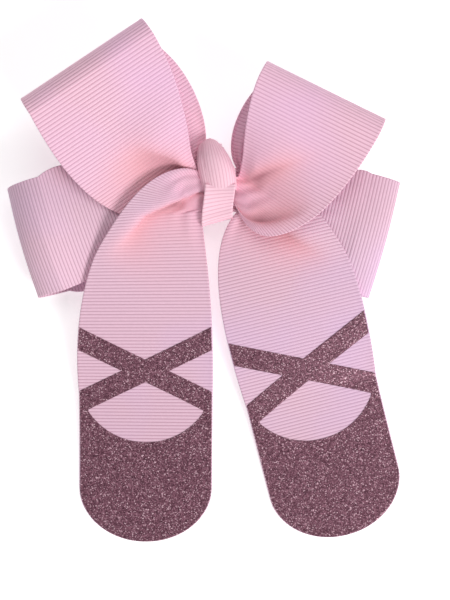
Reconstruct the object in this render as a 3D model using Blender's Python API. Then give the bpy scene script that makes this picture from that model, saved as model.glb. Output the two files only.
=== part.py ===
"""Hair bow: a tied grosgrain ribbon bow with two long tails, glitter vinyl shoe shapes on the tails,
a knotted centre ribbon and a sprung alligator clip on its back.

The bow lies on its back. +X is to the right, +Y runs from the tails to the loops, +Z is its front.
All numbers are millimetres until a mesh is made. They are measured from the knot's axis on the
surface that the bow lies on; the bow is then moved so that its footprint is centred on the origin.
"""

import math

import bmesh
import bpy
import numpy as np

MM = 0.001

# Driving dimensions
RIBBON_WIDTH = 57.15
RIBBON_THICK = 0.5
GAP = 0.3
TOE_ROUNDING = 23.6
TAIL_RISE = 3.5

WAIST_BOTTOM = 13.85
WAIST_STEP = 1.0
L1, L2, L3, L4, L5 = (WAIST_BOTTOM + WAIST_STEP * k for k in range(5))

KNOT_WIDTH = 12.6
KNOT_THICK = 0.5
THREAD_WIDTH = 4.0
THREAD_THICK = 0.4

VINYL_THICK = 0.3
VINYL_MARGIN = 0.8
STRAP_CROSSING = 74.6
STRAP_SLOPE = 0.505
STRAP_HALF_HEIGHT = 5.0
TOE_ARC_LOW = 43.0
TOE_ARC_RADIUS = 29.4
TOE_JOINS_STRAP = 24.6

CLIP_TIP = -23.0
CLIP_TAIL = 23.0
CLIP_TOP = 10.0
CLIP_SHEET = 0.6
CLIP_WIDTH = 8.0
CLIP_TIP_WIDTH = 5.0
PIN_X = 9.0
PIN_Z = 7.4
PIN_RADIUS = 0.8
PIN_RUNNING_GAP = 0.08
JAW_WIDTH = 6.2
JAW_DROP = 2.5
JAW_SLOPE = 6.1
JAW_TAIL_SLOPE = 19.5
SPRING_WIRE = 0.3
SPRING_RADIUS = 1.4
SPRING_TURNS = 5
SPRING_LEG = 10.0

# A loop runs from the waist's front round its fold to the waist's back. Its fold is a soft roll between
# two ends. Each edge leaves the waist and reaches the fold by a handle, as a drawn curve does.
LEAD = 7.0

UPPER_LEFT_LOOP = {
    "side": -1,
    "fold": ((-79, 30, 30), (-31, 62, 30)),
    "rolls": ((9, 8.5), (9, 8.5)),
    "front": {"level": L4, "waist": (-14, 1.5), "handles": (((-40, -24, 15), (-58, -10, 27)),
                                                          ((-9, 3, 17), (-12, 32, 34)))},
    "back": {"level": L3, "waist": (-5, 12), "handles": (((-32, -12, 17), (-58, 0, 22)),
                                                         ((-6, 14, 17), (-14, 38, 20)))},
}
UPPER_RIGHT_LOOP = {
    "side": 1,
    "fold": ((66, 22, 30), (19, 45, 30)),
    "rolls": ((9, 8.5), (9, 8.5)),
    "front": {"level": L5, "waist": (-11, 1), "handles": (((16, -38, 24), (42, -22, 30)),
                                                          ((9, 3, 20), (8, 20, 38)))},
    "back": {"level": L3, "waist": (-6, 4.5), "handles": (((28, -12, 17), (50, 2, 18)),
                                                        ((6, 10, 17), (8, 26, 20)))},
}
LOWER_LEFT_LOOP = {
    "side": -1,
    "fold": ((-88, -4, 14), (-76, -49, 10)),
    "rolls": ((15, 11.5), (12, 8)),
    "front": {"level": L2, "waist": (0, -12), "handles": (((-40, -8, 15), (-58, 16, 17)),
                                                          ((-26, -26, 14), (-46, -38, 6)))},
    "back": {"level": L1, "waist": (-1, -10), "handles": (((-32, 0, 14), (-60, 3, 4)),
                                                          ((-26, -26, 13), (-50, -50, 1)))},
}
LOWER_RIGHT_LOOP = {
    "side": 1,
    "fold": ((75, -1, 13), (63, -49, 6)),
    "rolls": ((13, 5.5), (13, 5.5)),
    "front": {"level": L2, "waist": (0, -12), "handles": (((38, -6, 15), (54, 8, 20)),
                                                          ((26, -26, 14), (40, -38, 8)))},
    "back": {"level": L1, "waist": (-1, -10), "handles": (((30, 0, 14), (56, 12, 2)),
                                                          ((24, -26, 13), (40, -42, 0)))},
}
# A tail is a straight strip behind its tip, joined to the waist by the same kind of curves.
LEFT_TAIL = {
    "side": -1,
    "tip": (-32.2, -154),
    "heading": -0.5,
    "strip": 64,
    "run": {"level": L5, "waist": (1.5, -13), "handles": (((-20, 13, 30), (-64, -16, 25)),
                                                          ((-8, -22, 18), (-2, -42, 14)))},
}
RIGHT_TAIL = {
    "side": 1,
    "tip": (55, -151),
    "heading": 14.5,
    "strip": 64,
    "run": {"level": L4, "waist": (-13, -3), "handles": (((8, -26, 17), (-4, -50, 14)),
                                                         ((38, 2, 21), (56, -20, 24)))},
}

PINK_RIBBON = ((0.86, 0.62, 0.70), 0.55, 0.0)
GLITTER_VINYL = ((0.42, 0.25, 0.31), 0.40, 0.3)
WHITE_THREAD = ((0.85, 0.80, 0.80), 0.70, 0.0)
HOT_GLUE = ((0.88, 0.87, 0.82), 0.30, 0.0)
NICKEL_STEEL = ((0.72, 0.72, 0.70), 0.28, 1.0)
SPRING_STEEL = ((0.55, 0.55, 0.54), 0.35, 1.0)


# ---------------------------------------------------------------- helpers


def clear_scene():
    for thing in list(bpy.data.objects):
        bpy.data.objects.remove(thing, do_unlink=True)


def material(name, look):
    colour, roughness, metallic = look
    made = bpy.data.materials.new(name)
    made.use_nodes = True
    shader = made.node_tree.nodes["Principled BSDF"]
    shader.inputs["Base Color"].default_value = (*colour, 1.0)
    shader.inputs["Roughness"].default_value = roughness
    shader.inputs["Metallic"].default_value = metallic
    return made


def add_mesh(name, points, faces, look, origin=(0.0, 0.0, 0.0)):
    """An object from points in millimetres, with its origin where it is said to be."""
    at = np.asarray(origin, float)
    mesh = bpy.data.meshes.new(name)
    mesh.from_pydata([tuple((np.asarray(p) - at) * MM) for p in points], [], faces)
    mesh.validate()
    mesh.materials.append(material(name, look))
    made = bpy.data.objects.new(name, mesh)
    made.location = tuple(at * MM)
    bpy.context.collection.objects.link(made)
    return made


def weld_and_face_out(made, distance=1e-6):
    work = bmesh.new()
    work.from_mesh(made.data)
    bmesh.ops.remove_doubles(work, verts=work.verts, dist=distance)
    bmesh.ops.recalc_face_normals(work, faces=work.faces)
    work.to_mesh(made.data)
    work.free()


def smooth(made, degrees=35):
    made.data.shade_smooth()
    made.data.set_sharp_from_angle(angle=math.radians(degrees))


def curve_through(points, at):
    """A smooth curve through the points (Catmull-Rom), read at the given numbers of points along."""
    points = np.asarray(points, float)
    ends = np.vstack([2 * points[0] - points[1], points, 2 * points[-1] - points[-2]])
    first = np.clip(np.floor(at).astype(int), 0, len(points) - 2)
    t = (at - first)[:, None]
    a, b, c, d = (ends[first + k] for k in range(4))
    return 0.5 * (2 * b + (c - a) * t + (2 * a - 5 * b + 4 * c - d) * t**2 + (3 * b - a - 3 * c + d) * t**3)


class Ribbon:
    """The middle surface of a ribbon, through its ribs."""

    def __init__(self, ribs, columns):
        self.share = np.linspace(0.0, 1.0, columns)
        self.rows = np.stack([self.even(rib, columns) for rib in ribs])
        steps = np.linalg.norm(np.diff(self.rows, axis=0), axis=2).mean(axis=1)
        self.along = np.concatenate([[0.0], np.cumsum(steps)])

    @staticmethod
    def even(rib, columns):
        fine = curve_through(rib, np.linspace(0, len(rib) - 1, 24 * len(rib)))
        run = np.concatenate([[0.0], np.cumsum(np.linalg.norm(np.diff(fine, axis=0), axis=1))])
        wanted = np.linspace(0, run[-1], columns)
        return np.stack([np.interp(wanted, run, fine[:, k]) for k in range(3)], axis=1)

    @property
    def length(self):
        return self.along[-1]

    def at(self, distance, share):
        """The point a distance from the first rib, a share of the way across."""
        across = np.stack([np.interp(share, self.share, self.rows[:, :, k].T[:, r])
                           for r in range(len(self.rows)) for k in range(3)])
        ribs = across.reshape(len(self.rows), 3)
        where = np.interp([distance], self.along, np.arange(len(self.rows)))
        return curve_through(ribs, where)[0]

    def normal(self, distance, share, step=0.2):
        back = self.at(max(distance - step, 0.0), share)
        ahead = self.at(min(distance + step, self.length), share)
        left = self.at(distance, max(share - 0.01, 0.0))
        right = self.at(distance, min(share + 0.01, 1.0))
        facing = np.cross(ahead - back, right - left)
        facing /= np.linalg.norm(facing)
        return facing if facing[2] > 0 else -facing


def bezier(start, first, second, end, t):
    """The point a share t along a curve with two handles."""
    points = (np.asarray(p, float) for p in (start, first, second, end))
    shares = ((1 - t) ** 3, 3 * t * (1 - t) ** 2, 3 * t * t * (1 - t), t**3)
    return sum(share * point for share, point in zip(shares, points))


def gathered_ribs(side, run, ends, steps=9):
    """Ribs from the waist out to a wide rib, along the run's two edge curves."""
    level, edges = run["level"], run["waist"]
    slot = [np.array((side * 0.5, y, level)) for y in edges]
    lead = [np.array((side * LEAD, y * 1.04, level + 0.15)) for y in edges]
    ribs = [slot, lead]
    for t in np.linspace(0, 1, steps + 1)[1:]:
        ribs.append([bezier(lead[k], *run["handles"][k], ends[k], t) for k in (0, 1)])
    return ribs


def loop_ribs(shape):
    """The ribs of a loop: out to the crest, round the roll, and back to the waist underneath."""
    fold = [np.asarray(end, float) for end in shape["fold"]]
    along = fold[1] - fold[0]
    inward = np.array((along[1], -along[0], 0.0)) / math.hypot(along[0], along[1])
    if inward @ (fold[0] + fold[1]) > 0:
        inward = -inward

    def round_the_roll(degrees):
        turn = math.radians(degrees)
        return [
            end + inward * inset * (1 - math.cos(turn)) + np.array((0, 0, height * math.sin(turn)))
            for end, (inset, height) in zip(fold, shape["rolls"])
        ]

    out = gathered_ribs(shape["side"], shape["front"], round_the_roll(90))
    under = gathered_ribs(shape["side"], shape["back"], round_the_roll(-90))
    return out + [round_the_roll(a) for a in (60, 30, 0, -30, -60)] + under[::-1]


def tail_ribs(shape):
    """The ribs of a tail: out of the waist, then straight along its strip to its tip."""
    turn = math.radians(shape["heading"])
    ahead = np.array((math.sin(turn), -math.cos(turn), 0.0))
    across = np.array((math.cos(turn), math.sin(turn), 0.0)) * RIBBON_WIDTH / 2
    tip = np.array((*shape["tip"], 0.3))

    def across_strip(back):
        middle = tip - ahead * back + np.array((0, 0, TAIL_RISE * (back / shape["strip"]) ** 3))
        return [middle - across, middle + across]

    ribs = gathered_ribs(shape["side"], shape["run"], across_strip(shape["strip"]))
    return ribs + [across_strip(back) for back in (48, 32, 16, 0)]


def grid_faces(rows, columns):
    return [
        (i * columns + j, i * columns + j + 1, (i + 1) * columns + j + 1, (i + 1) * columns + j)
        for i in range(rows - 1)
        for j in range(columns - 1)
    ]


def thicken(made, thickness):
    solid = made.modifiers.new("thickness", "SOLIDIFY")
    solid.thickness = thickness * MM
    solid.offset = 0.0
    solid.use_even_offset = False


def add_cutter(made, cutter, operation="DIFFERENCE"):
    cutter.hide_render = True
    cutter.display_type = "WIRE"
    cut = made.modifiers.new(cutter.name, "BOOLEAN")
    cut.operation = operation
    cut.object = cutter
    cut.solver = "EXACT"


def prism(name, outline, low, high, look, plane="XY", origin=(0.0, 0.0, 0.0)):
    """An outline in a plane, extruded from low to high along the third axis."""
    order = {"XY": (0, 1, 2), "XZ": (0, 2, 1), "YZ": (1, 2, 0)}[plane]
    count = len(outline)
    points = []
    for level in (low, high):
        for a, b in outline:
            point = [0.0, 0.0, 0.0]
            point[order[0]], point[order[1]], point[order[2]] = a, b, level
            points.append(point)
    faces = [tuple(range(count)), tuple(range(2 * count - 1, count - 1, -1))]
    faces += [(k, (k + 1) % count, count + (k + 1) % count, count + k) for k in range(count)]
    made = add_mesh(name, points, faces, look, origin)
    weld_and_face_out(made)
    return made


def arc(centre, radius, start, end, steps):
    """Points along an arc, with its angles in degrees."""
    angles = np.radians(np.linspace(start, end, steps + 1))
    return [(centre[0] + radius * math.cos(a), centre[1] + radius * math.sin(a)) for a in angles]


def rounded_rectangle(low, high, radius, steps=4):
    (x0, y0), (x1, y1) = low, high
    return (
        arc((x1 - radius, y1 - radius), radius, 0, 90, steps)
        + arc((x0 + radius, y1 - radius), radius, 90, 180, steps)
        + arc((x0 + radius, y0 + radius), radius, 180, 270, steps)
        + arc((x1 - radius, y0 + radius), radius, 270, 360, steps)
    )


# ---------------------------------------------------------------- ribbon


def loop(name, shape, rows=26, columns=7):
    """A ribbon loop: out from the waist, round its fold and back under itself."""
    ribbon = Ribbon(loop_ribs(shape), columns)
    points = [
        ribbon.at(distance, share)
        for distance in np.linspace(0, ribbon.length, rows)
        for share in ribbon.share
    ]
    made = add_mesh(name, points, grid_faces(rows, columns), PINK_RIBBON)
    thicken(made, RIBBON_THICK)
    smooth(made)
    return made


def toe_end(across, half_width=RIBBON_WIDTH / 2, rounding=TOE_ROUNDING):
    """How far the rounded end of a tail lies from its tip, at a distance across from the middle."""
    share = min(abs(across) / half_width, 1.0)
    return rounding * (1.0 - math.sqrt(1.0 - share * share))


def tail(name, shape, rows=20, end_rows=5, columns=9):
    """A ribbon tail with a rounded end."""
    ribbon = Ribbon(tail_ribs(shape), columns)
    straight = ribbon.length - TOE_ROUNDING - 6.0
    points = []
    for distance in np.linspace(0, straight, rows):
        points += [ribbon.at(distance, share) for share in ribbon.share]
    for step in np.linspace(0, 1, end_rows + 1)[1:]:
        for share in ribbon.share:
            end = ribbon.length - toe_end((share - 0.5) * RIBBON_WIDTH)
            points.append(ribbon.at(straight + (end - straight) * step, share))
    made = add_mesh(name, points, grid_faces(rows + end_rows, columns), PINK_RIBBON)
    thicken(made, RIBBON_THICK)
    smooth(made)
    return made


def strap_edges(across):
    """The edges of the toe cap and of the two crossed straps at a distance across, from the tip up."""
    rise = STRAP_SLOPE * abs(across)
    lower, upper = STRAP_CROSSING - rise, STRAP_CROSSING + rise
    cap_bottom = VINYL_MARGIN + toe_end(across, RIBBON_WIDTH / 2 - VINYL_MARGIN + 0.1)
    low_bottom = lower - STRAP_HALF_HEIGHT
    cap_top = low_bottom
    if abs(across) < TOE_JOINS_STRAP - 0.01:
        cap_top = TOE_ARC_LOW + TOE_ARC_RADIUS - math.sqrt(TOE_ARC_RADIUS**2 - across**2)
    low_top = min(lower + STRAP_HALF_HEIGHT, STRAP_CROSSING)
    high_bottom = max(upper - STRAP_HALF_HEIGHT, STRAP_CROSSING)
    return (cap_bottom, cap_top), (low_bottom, low_top), (high_bottom, upper + STRAP_HALF_HEIGHT)


def shoe_shape(name, shape):
    """A vinyl toe cap with crossed straps, cut in one piece, that lies on a tail."""
    ribbon = Ribbon(tail_ribs(shape), 9)
    half = RIBBON_WIDTH / 2 - VINYL_MARGIN
    touch = STRAP_HALF_HEIGHT / STRAP_SLOPE
    one_side = [0.0, touch / 2, touch, 17.0, TOE_JOINS_STRAP, half]
    columns = [-x for x in one_side[:0:-1]] + one_side
    lift = RIBBON_THICK / 2 + GAP + VINYL_THICK / 2
    points, faces = [], []
    for band, rows in ((0, 9), (1, 3), (2, 3)):
        first = len(points)
        for step in np.linspace(0, 1, rows):
            for across in columns:
                low, high = strap_edges(across)[band]
                distance = ribbon.length - (low + (high - low) * step)
                share = across / RIBBON_WIDTH + 0.5
                points.append(ribbon.at(distance, share) + lift * ribbon.normal(distance, share))
        faces += [tuple(first + k for k in face) for face in grid_faces(rows, len(columns))]
    made = add_mesh(name, points, faces, GLITTER_VINYL)
    weld_and_face_out(made, 2e-5)
    thicken(made, VINYL_THICK)
    return made


# ---------------------------------------------------------------- waist


def band_round_waist(name, width, inside_low, inside_high, thickness, radius, look):
    """A flat band round the waist, with a rounded rectangular section in the YZ plane."""
    outside_low = tuple(x - thickness for x in inside_low)
    outside_high = tuple(x + thickness for x in inside_high)
    inner = rounded_rectangle(inside_low, inside_high, radius)
    outer = rounded_rectangle(outside_low, outside_high, radius + thickness)
    count = len(inner)
    points = [(x, y, z) for x in (-width / 2, width / 2) for ring in (inner, outer) for y, z in ring]
    faces = []
    for k in range(count):
        n = (k + 1) % count
        faces.append((k, n, count + n, count + k))
        faces.append((2 * count + k, 3 * count + k, 3 * count + n, 2 * count + n))
        faces.append((k, 2 * count + k, 2 * count + n, n))
        faces.append((count + k, count + n, 3 * count + n, 3 * count + k))
    made = add_mesh(name, points, faces, look)
    weld_and_face_out(made)
    return made


def binding_thread():
    made = band_round_waist(
        "binding_thread", THREAD_WIDTH, (-14.8, L1 - 0.65), (13.2, L5 + 0.65), THREAD_THICK, 1.5, WHITE_THREAD
    )
    smooth(made)
    return made


def knot_ribbon():
    """The centre ribbon: a band round the waist with its knot on the front."""
    band = band_round_waist(
        "knot_ribbon", KNOT_WIDTH, (-18.4, L1 - 1.45), (14.7, L5 + 1.45), KNOT_THICK, 2.0, PINK_RIBBON
    )
    knot = add_mesh("knot_bulb", *knot_shape(centre=(0.2, 5.5, 20.6), half=(6.5, 10.0, 6.3)), PINK_RIBBON)
    weld_and_face_out(knot)
    add_cutter(band, knot, "UNION")
    smooth(band)
    return band


def knot_shape(centre, half, turns=14, rings=6):
    """The points and faces of a flattened ball whose underside is cut flat inside the front band."""
    points, faces = [], []
    floor = L5 + 1.45 + KNOT_THICK / 2
    for ring in range(rings):
        tilt = math.radians(-8 + 98 * ring / rings)
        for turn in range(turns):
            angle = 2 * math.pi * turn / turns
            points.append((
                centre[0] + half[0] * math.cos(tilt) * math.cos(angle),
                centre[1] + half[1] * math.cos(tilt) * math.sin(angle),
                max(centre[2] + half[2] * math.sin(tilt), floor) if ring else floor,
            ))
    points.append((centre[0], centre[1], centre[2] + half[2]))
    faces.append(tuple(range(turns))[::-1])
    for ring in range(rings - 1):
        for turn in range(turns):
            after = (turn + 1) % turns
            faces.append((ring * turns + turn, ring * turns + after,
                          (ring + 1) * turns + after, (ring + 1) * turns + turn))
    top = (rings - 1) * turns
    faces += [(top + turn, top + (turn + 1) % turns, len(points) - 1) for turn in range(turns)]
    return points, faces


def hot_glue():
    """The glue between the clip's lining and the back of the knot ribbon."""
    low = CLIP_TOP + GAP + 0.4 + GAP
    high = L1 - 1.45 - KNOT_THICK - GAP
    outline = rounded_rectangle((-8.0, -3.0), (8.5, 3.2), 2.4)
    return prism("hot_glue", outline, low, high, HOT_GLUE)


# ---------------------------------------------------------------- clip


def arm_outline(tip, tail_end, width, tip_width):
    """A flat arm seen from above: a round tip that widens to a straight shank."""
    half, tip_half, shoulder = width / 2, tip_width / 2, tip + 20.0
    side = [(tail_end, -half), (tail_end, half), (shoulder, half)]
    return side + arc((tip + tip_half, 0.0), tip_half, 90, 270, 6) + [(shoulder, -half)]


def clip_fixed_arm():
    """The arm that is glued to the bow: a flat plate with two ears that hold the pin."""
    plate = prism(
        "clip_fixed_arm",
        arm_outline(CLIP_TIP, CLIP_TAIL, CLIP_WIDTH, CLIP_TIP_WIDTH),
        CLIP_TOP - CLIP_SHEET,
        CLIP_TOP,
        NICKEL_STEEL,
    )
    top = CLIP_TOP - CLIP_SHEET / 2
    ear = [(PIN_X - 5.0, top), (PIN_X - 1.9, PIN_Z - 1.6), (PIN_X + 1.9, PIN_Z - 1.6), (PIN_X + 5.0, top)]
    for side, label in ((1, "left"), (-1, "right")):
        faces = sorted((side * CLIP_WIDTH / 2, side * (CLIP_WIDTH / 2 - CLIP_SHEET)))
        add_cutter(plate, prism(f"fixed_ear_{label}", ear, *faces, NICKEL_STEEL, plane="XZ"), "UNION")
    hole = arc((PIN_X, PIN_Z), PIN_RADIUS + PIN_RUNNING_GAP, 0, 345, 23)
    add_cutter(plate, prism("fixed_pin_hole", hole, -6, 6, NICKEL_STEEL, plane="XZ"))
    return plate


def turned(point, degrees):
    """A point in the jaw's own XZ frame, round the pin, turned nose up."""
    a = math.radians(degrees)
    x, z = point
    return PIN_X + x * math.cos(a) + z * math.sin(a), PIN_Z - x * math.sin(a) + z * math.cos(a)


def clip_jaw():
    """The moving arm: a plate that rises to the tip, a bent pinch tail, two ears and gripping teeth."""
    pin = (PIN_X, 0.0, PIN_Z)
    nose = PIN_X - CLIP_TIP
    bend = 3.0
    top = -JAW_DROP
    tail_run = (CLIP_TAIL - PIN_X - bend) / math.cos(math.radians(JAW_TAIL_SLOPE))
    drop = math.tan(math.radians(JAW_TAIL_SLOPE - JAW_SLOPE))
    profile = [(-nose + 0.4, top), (bend, top), (bend + tail_run, top - tail_run * drop)]
    profile += [(x, z - CLIP_SHEET) for x, z in reversed(profile)]
    side = [turned(p, JAW_SLOPE) for p in profile]
    plate = prism("clip_jaw", side, -JAW_WIDTH / 2, JAW_WIDTH / 2, NICKEL_STEEL, "XZ", pin)
    outline = arm_outline(CLIP_TIP + 0.4, CLIP_TAIL + 3, JAW_WIDTH, CLIP_TIP_WIDTH)
    add_cutter(plate, prism("jaw_outline", outline, -3, 12, NICKEL_STEEL), "INTERSECT")
    low = top - CLIP_SHEET / 2
    ear = [(-4.6, low), (-1.6, 1.0), (-1.0, 1.6), (1.0, 1.6), (1.6, 1.0), (2.6, low)]
    ear = [turned(p, JAW_SLOPE) for p in ear]
    for side_of, label in ((1, "left"), (-1, "right")):
        faces = sorted((side_of * JAW_WIDTH / 2, side_of * (JAW_WIDTH / 2 - CLIP_SHEET)))
        add_cutter(plate, prism(f"jaw_ear_{label}", ear, *faces, NICKEL_STEEL, plane="XZ"), "UNION")
    for count in range(3):
        x = -nose + 1.6 + 1.5 * count
        tooth = [turned(p, JAW_SLOPE) for p in ((x - 0.6, low), (x, top + 0.7), (x + 0.6, low))]
        add_cutter(plate, prism(f"jaw_tooth_{count}", tooth, -1.6, 1.6, NICKEL_STEEL, plane="XZ"), "UNION")
    hole = arc((PIN_X, PIN_Z), PIN_RADIUS + PIN_RUNNING_GAP, 0, 345, 23)
    add_cutter(plate, prism("jaw_pin_hole", hole, -6, 6, NICKEL_STEEL, plane="XZ"))
    return plate


def clip_lining():
    """The ribbon strip on top of the fixed arm, which takes the glue."""
    low = CLIP_TOP + GAP
    outline = arm_outline(CLIP_TIP + 0.3, CLIP_TAIL - 1.0, CLIP_WIDTH - 0.6, CLIP_TIP_WIDTH - 0.4)
    return prism("clip_lining", outline, low, low + 0.4, PINK_RIBBON)


def clip_pin():
    """The hinge pin with its two riveted heads."""
    half, head, head_radius = CLIP_WIDTH / 2 + 0.1, 0.4, 1.3
    stations = [(-half - head, head_radius), (-half, head_radius), (-half, PIN_RADIUS)]
    stations += [(-y, r) for y, r in reversed(stations)]
    turns = 24
    points = [(PIN_X, stations[0][0], PIN_Z)]
    for y, radius in stations:
        points += [(x, y, z) for x, z in arc((PIN_X, PIN_Z), radius, 0, 345, turns - 1)]
    points.append((PIN_X, stations[-1][0], PIN_Z))
    faces = [(0, 1 + (k + 1) % turns, 1 + k) for k in range(turns)]
    for ring in range(len(stations) - 1):
        for k in range(turns):
            a, b = 1 + ring * turns + k, 1 + ring * turns + (k + 1) % turns
            faces.append((a, b, b + turns, a + turns))
    last = 1 + (len(stations) - 1) * turns
    faces += [(len(points) - 1, last + k, last + (k + 1) % turns) for k in range(turns)]
    made = add_mesh("clip_pin", points, faces, NICKEL_STEEL)
    weld_and_face_out(made)
    smooth(made)
    return made


def clip_spring():
    """The torsion spring: a leg under the fixed tail, turns round the pin, a leg on the jaw's tail."""
    lower_slope = math.radians(JAW_TAIL_SLOPE - 2.0)
    start, end = math.pi / 2, 1.5 * math.pi - lower_slope + 2 * math.pi * SPRING_TURNS
    turns_wide = 0.72 * (end - start) / (2 * math.pi)
    route = [(PIN_X + SPRING_LEG * 0.9, -turns_wide / 2, PIN_Z + SPRING_RADIUS)]
    for angle in np.linspace(start, end, 10 * SPRING_TURNS + 5):
        y = turns_wide * ((angle - start) / (end - start) - 0.5)
        route.append((PIN_X + SPRING_RADIUS * math.cos(angle), y, PIN_Z + SPRING_RADIUS * math.sin(angle)))
    last = route[-1]
    route.append((
        last[0] + SPRING_LEG * math.cos(lower_slope),
        last[1],
        last[2] - SPRING_LEG * math.sin(lower_slope),
    ))
    curve = bpy.data.curves.new("clip_spring", "CURVE")
    curve.dimensions = "3D"
    curve.bevel_depth = SPRING_WIRE * MM
    curve.bevel_resolution = 1
    curve.use_fill_caps = True
    line = curve.splines.new("POLY")
    line.points.add(len(route) - 1)
    for point, place in zip(line.points, route):
        point.co = (*(x * MM for x in place), 1.0)
    curve.materials.append(material("clip_spring", SPRING_STEEL))
    made = bpy.data.objects.new("clip_spring", curve)
    bpy.context.collection.objects.link(made)
    return made


# ---------------------------------------------------------------- assembly


def stand_on_origin(parts):
    """Parents everything to an empty that brings the middle of the footprint to the origin."""
    bpy.context.view_layer.update()
    graph = bpy.context.evaluated_depsgraph_get()
    corners = []
    for part in parts:
        shown = part.evaluated_get(graph)
        corners += [shown.matrix_world @ v.co for v in shown.to_mesh().vertices]
    low = np.min([tuple(c) for c in corners], axis=0)
    high = np.max([tuple(c) for c in corners], axis=0)
    root = bpy.data.objects.new("bow", None)
    bpy.context.collection.objects.link(root)
    for thing in list(bpy.data.objects):
        if thing is not root:
            thing.parent = root
    root.location = (-(low[0] + high[0]) / 2, -(low[1] + high[1]) / 2, -low[2])


def main():
    clear_scene()
    parts = [
        loop("upper_left_loop", UPPER_LEFT_LOOP),
        loop("upper_right_loop", UPPER_RIGHT_LOOP),
        loop("lower_left_loop", LOWER_LEFT_LOOP),
        loop("lower_right_loop", LOWER_RIGHT_LOOP),
        tail("left_tail", LEFT_TAIL),
        tail("right_tail", RIGHT_TAIL),
        shoe_shape("left_shoe_vinyl", LEFT_TAIL),
        shoe_shape("right_shoe_vinyl", RIGHT_TAIL),
        binding_thread(),
        knot_ribbon(),
        hot_glue(),
        clip_lining(),
        clip_fixed_arm(),
        clip_jaw(),
        clip_pin(),
        clip_spring(),
    ]
    stand_on_origin(parts)


main()
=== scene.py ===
import math

import bmesh
import bpy
import numpy as np
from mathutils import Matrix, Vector


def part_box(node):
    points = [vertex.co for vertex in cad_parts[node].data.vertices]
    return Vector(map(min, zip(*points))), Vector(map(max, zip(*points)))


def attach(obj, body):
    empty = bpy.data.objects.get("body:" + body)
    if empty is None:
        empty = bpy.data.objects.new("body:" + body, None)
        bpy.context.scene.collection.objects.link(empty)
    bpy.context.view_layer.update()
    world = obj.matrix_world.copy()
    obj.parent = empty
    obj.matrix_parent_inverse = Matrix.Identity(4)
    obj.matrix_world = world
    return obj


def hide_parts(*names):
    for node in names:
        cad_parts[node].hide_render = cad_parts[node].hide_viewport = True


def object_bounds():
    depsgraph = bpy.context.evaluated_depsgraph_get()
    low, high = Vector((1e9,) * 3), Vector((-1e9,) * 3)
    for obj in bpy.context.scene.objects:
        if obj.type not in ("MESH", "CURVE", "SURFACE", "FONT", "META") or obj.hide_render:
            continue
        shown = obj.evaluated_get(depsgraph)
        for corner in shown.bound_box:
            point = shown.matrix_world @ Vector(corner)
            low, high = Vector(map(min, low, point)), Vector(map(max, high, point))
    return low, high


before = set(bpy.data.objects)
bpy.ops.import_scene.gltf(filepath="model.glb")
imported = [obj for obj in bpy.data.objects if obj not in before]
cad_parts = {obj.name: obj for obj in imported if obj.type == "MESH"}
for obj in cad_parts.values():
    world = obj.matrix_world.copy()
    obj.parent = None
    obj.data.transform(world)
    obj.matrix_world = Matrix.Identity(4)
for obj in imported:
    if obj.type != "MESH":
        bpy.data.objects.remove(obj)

# A hair bow of pink grosgrain with glitter vinyl ballet shoes on its tails, on a sprung clip.
# Shapes are worked out in millimetres from the knot's axis and the surface that the bow lies on.

MM = 0.001
CAD_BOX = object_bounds()
PIN_LOW, PIN_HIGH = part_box("clip_pin")
PIN_X, PIN_Z = 9.0, 7.4
KNOT = np.array(((PIN_LOW.x + PIN_HIGH.x) / 2 - PIN_X * MM, (PIN_LOW.y + PIN_HIGH.y) / 2, CAD_BOX[0].z))

RIBBON_WIDTH = 57.15
RIBBON_THICK = 0.42
RIB_PITCH = 1.44
RIB_HEIGHT = 0.19
ROW_STEP = RIB_PITCH / 8
LOOP_START = 2000 * RIB_PITCH

# The heights of the layers in the waist, and the straight lead into it.
L1, L2, L3, L4, L5 = (13.85 + k for k in range(5))
WAIST_X = 0.5
LEAD, LEAD_SPREAD, LEAD_RISE = 7.0, 1.04, 0.15

TOE_ROUNDING = 23.6
TIP_HEIGHT, TAIL_RISE = 0.3, 3.5
ROLL_STEPS, STRIP_STEPS, CURVE_STEPS = 40, 60, 160

# Gathers at the waist: how many lie across the ribbon, how deep they are and how far out they reach.
GATHERS = (5, 0.6, 24.0)
CURLED_GATHERS = (7, 1.6, 40.0)
DEEP_GATHERS = (7, 1.8, 50.0)
GATHER_START, GATHER_GROWTH = 0.4, 8
# Painted bounce light and shade among the gathers near the waist: how strong it is at the waist and how far
# out it fades.
GATHER_SHADE, GATHER_SHADE_REACH = 0.32, 34
PLEAT_START, PLEAT_GROWTH = 0.35, 14.0
BELLY_GROWTH = 30

# The selvedge: a bead a little inside the edge, and a thin edge.
BEAD, BEAD_INSET, BEAD_WIDTH = 0.35, 0.8, 0.5
EDGE_THIN, EDGE_WIDTH = 0.6, 0.25

NARROW_RIB, LINING_RIB = 0.10, 0.08
BAND_WEAVE_WIDTH, KNOT_WEAVE_WIDTH, LINING_WEAVE_WIDTH = 13.0, 22.0, 7.4
LINING_THICK = 0.36

UP = np.array((0.0, 0.0, 1.0))


# ---------------------------------------------------------------- shapes of the ribbon


def bezier(points, t):
    """Points along a curve from its first point to its last, with two handles between."""
    a, b, c, d = (np.asarray(p, float) for p in points)
    t = np.asarray(t)[:, None]
    return a * (1 - t) ** 3 + 3 * b * t * (1 - t) ** 2 + 3 * c * t * t * (1 - t) + d * t**3


class Edge:
    """A selvedge, read by its length from the fold or the tip. Past its end it stays at the waist."""

    def __init__(self, points):
        self.points = np.asarray(points)
        steps = np.linalg.norm(np.diff(self.points, axis=0), axis=1)
        self.run = np.concatenate([[0.0], np.cumsum(steps)])

    @property
    def length(self):
        return self.run[-1]

    def at(self, distance):
        return np.stack([np.interp(distance, self.run, self.points[:, k]) for k in range(3)], axis=-1)


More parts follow.
